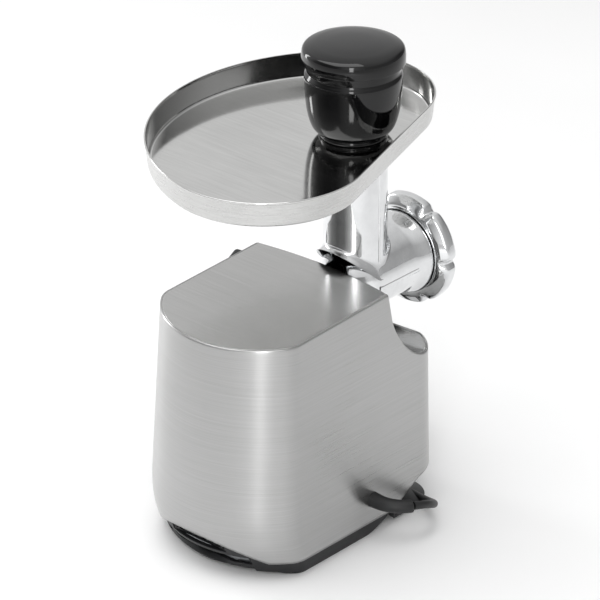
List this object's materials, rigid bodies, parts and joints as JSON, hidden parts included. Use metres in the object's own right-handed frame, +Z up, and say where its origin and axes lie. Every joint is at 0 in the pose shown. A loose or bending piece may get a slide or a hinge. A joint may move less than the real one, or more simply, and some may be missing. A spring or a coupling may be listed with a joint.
{
  "type": "electric meat grinder",
  "caption": "Electric meat grinder: steel-skinned motor housing, removable cast head with screw, knife and plate, large hopper tray, pusher with lid, and a mains lead.",
  "frame": {"origin": "on the surface it stands on, under the middle of the object's bounding box without the lead", "axes": "+Z up; the grinding head points along -Y; the mains lead leaves on the -X side"},
  "size_m": [0.2553, 0.3128, 0.4089],
  "materials": {
    "side_skin": "brushed stainless steel sheet, level grain",
    "top_cover": "brushed stainless steel sheet",
    "base_pan": "moulded black plastic, fine grain",
    "rear_grille": "moulded black plastic, vent slats",
    "foot": "moulded rubber",
    "foot_screw": "zinc-plated steel",
    "chassis": "galvanised sheet steel",
    "gearbox_housing": "die-cast, as cast",
    "gearbox_cover": "die-cast, as cast",
    "head_socket": "die-cast, machined bore",
    "output_bearing": "sintered bronze bush",
    "gear_steel": "machined steel, oiled",
    "gear_nylon": "natural nylon",
    "motor_steel": "laminated sheet steel",
    "copper": "enamelled copper winding",
    "commutator": "copper bars, turned",
    "carbon": "pressed carbon",
    "fan_plastic": "moulded nylon",
    "bearing_steel": "ground steel",
    "bracket": "pressed aluminium",
    "knob_plastic": "moulded black plastic, satin",
    "spindle_steel": "plated steel",
    "head_cast": "polished cast aluminium",
    "nut_cast": "polished cast aluminium",
    "auger_cast": "cast aluminium, tumbled",
    "bush_nylon": "natural nylon",
    "knife_steel": "ground stainless steel",
    "tray_steel": "pressed stainless steel, bright inside",
    "pusher_plastic": "moulded black plastic, glossy",
    "cord_rubber": "black PVC sheath",
    "plug_brass": "plated brass pins"
  },
  "bodies": {
    "housing": {"side_skin": "side_skin", "top_cover": "top_cover", "base_pan": "base_pan", "rear_grille": "rear_grille", "foot_1": "foot", "foot_2": "foot", "foot_3": "foot", "foot_4": "foot", "foot_screw_1": "foot_screw", "foot_screw_2": "foot_screw", "foot_screw_3": "foot_screw", "foot_screw_4": "foot_screw", "chassis": "chassis", "gearbox_housing": "gearbox_housing", "gearbox_cover": "gearbox_cover", "head_socket": "head_socket", "output_bearing": "output_bearing", "second_gear_pin": "spindle_steel", "first_gear_pin": "spindle_steel", "stator_pack": "motor_steel", "field_coil_right": "copper", "field_coil_left": "copper", "carbon_brush_right": "carbon", "carbon_brush_left": "carbon", "front_bearing": "bearing_steel", "rear_bearing": "bearing_steel", "front_bracket": "bracket", "rear_bracket": "bracket", "switch_body": "knob_plastic", "strain_relief": "cord_rubber", "lead_run": "cord_rubber", "lead_coil": "cord_rubber", "lead_tail": "cord_rubber", "plug_body": "cord_rubber", "plug_pin_left": "plug_brass", "plug_pin_right": "plug_brass"},
    "rotor": {"rotor_shaft": "gear_steel", "armature": "copper", "commutator": "commutator", "cooling_fan": "fan_plastic"},
    "first_reduction": {"first_gear": "gear_nylon"},
    "second_reduction": {"second_gear": "gear_steel"},
    "output_drive": {"output_gear": "gear_steel"},
    "grinding_head": {"head_casting": "head_cast", "auger_bush": "bush_nylon", "cutting_plate": "knife_steel"},
    "screw_and_knife": {"auger": "auger_cast", "cross_knife": "knife_steel"},
    "retaining_ring": {"ring_nut": "nut_cast"},
    "hopper": {"tray": "tray_steel"},
    "pusher": {"pusher_cup": "pusher_plastic"},
    "pusher_lid": {"pusher_cap": "pusher_plastic"},
    "head_lock": {"lock_knob": "knob_plastic", "lock_spindle": "spindle_steel"},
    "speed_control": {"control_knob": "knob_plastic", "switch_stem": "spindle_steel"}
  },
  "joints": [
    {"name": "rotor_spin", "type": "hinge", "parent": "housing", "child": "rotor", "pos_m": [-0.02557, 0.08789, 0.1244], "axis": [0, 1, 0], "continuous": true},
    {"name": "first_gear_spin", "type": "hinge", "parent": "housing", "child": "first_reduction", "pos_m": [-0.02557, 0.04789, 0.1484], "axis": [0, 1, 0], "continuous": true},
    {"name": "second_gear_spin", "type": "hinge", "parent": "housing", "child": "second_reduction", "pos_m": [-0.02557, 0.03789, 0.1784], "axis": [0, 1, 0], "continuous": true},
    {"name": "output_spin", "type": "hinge", "parent": "housing", "child": "output_drive", "pos_m": [-0.02557, 0.01789, 0.1959], "axis": [0, 1, 0], "continuous": true},
    {"name": "head_removal", "type": "slide", "parent": "housing", "child": "grinding_head", "axis": [0, -1, 0], "range_m": [0, 0.1]},
    {"name": "auger_spin", "type": "hinge", "parent": "grinding_head", "child": "screw_and_knife", "pos_m": [-0.02557, -0.07211, 0.1959], "axis": [0, 1, 0], "continuous": true},
    {"name": "ring_nut_turn", "type": "hinge", "parent": "grinding_head", "child": "retaining_ring", "pos_m": [-0.02557, -0.12111, 0.1959], "axis": [0, 1, 0], "continuous": true},
    {"name": "tray_lift", "type": "slide", "parent": "grinding_head", "child": "hopper", "axis": [0, 0, 1], "range_m": [0, 0.1]},
    {"name": "pusher_lift", "type": "slide", "parent": "hopper", "child": "pusher", "axis": [0, 0, 1], "range_m": [0, 0.095]},
    {"name": "pusher_cap_lift", "type": "slide", "parent": "pusher", "child": "pusher_lid", "axis": [0, 0, 1], "range_m": [0, 0.06]},
    {"name": "head_lock_turn", "type": "hinge", "parent": "housing", "child": "head_lock", "pos_m": [0.04443, -0.00411, 0.19], "axis": [1, 0, 0], "range_deg": [0, 90]},
    {"name": "speed_control_turn", "type": "hinge", "parent": "housing", "child": "speed_control", "pos_m": [0.04443, 0.06589, 0.112], "axis": [1, 0, 0], "range_deg": [-45, 45]}
  ],
  "couplings": [
    {"joint": "first_gear_spin", "follows": "rotor_spin", "ratio": -0.2},
    {"joint": "second_gear_spin", "follows": "rotor_spin", "ratio": 0.04},
    {"joint": "output_spin", "follows": "rotor_spin", "ratio": -0.016},
    {"joint": "auger_spin", "follows": "rotor_spin", "ratio": -0.016}
  ]
}
